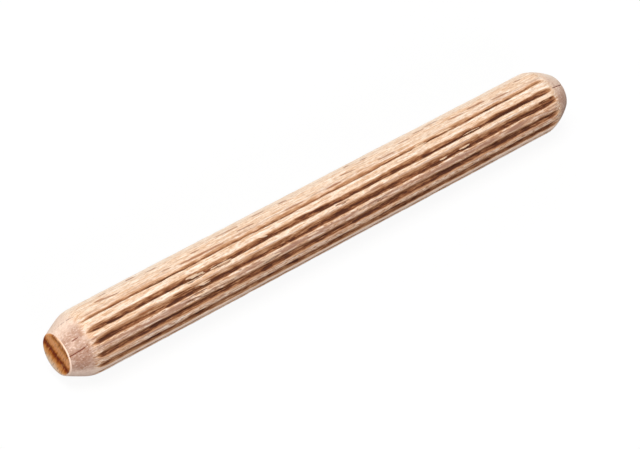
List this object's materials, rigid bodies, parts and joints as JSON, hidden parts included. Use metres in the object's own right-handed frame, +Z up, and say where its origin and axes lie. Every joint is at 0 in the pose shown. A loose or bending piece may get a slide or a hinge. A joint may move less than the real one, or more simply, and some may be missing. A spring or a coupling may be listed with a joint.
{
  "type": "dowel pin",
  "caption": "Straight fluted beech dowel pin for glued wood joints, chamfered at both ends, one chamfer straight and the other slightly crowned.",
  "frame": {"origin": "on the pin's axis, half way between its two end faces", "axes": "+X along the pin, from the end with the straight chamfer to the crowned one; +Z up as the pin lies at rest, a flute underneath and a land on top"},
  "size_m": [0.076, 0.008, 0.008],
  "materials": {
    "beech": "bare, unfinished, steamed beech with compressed flutes"
  },
  "bodies": {
    "root": {"dowel_pin": "beech"}
  },
  "joints": []
}
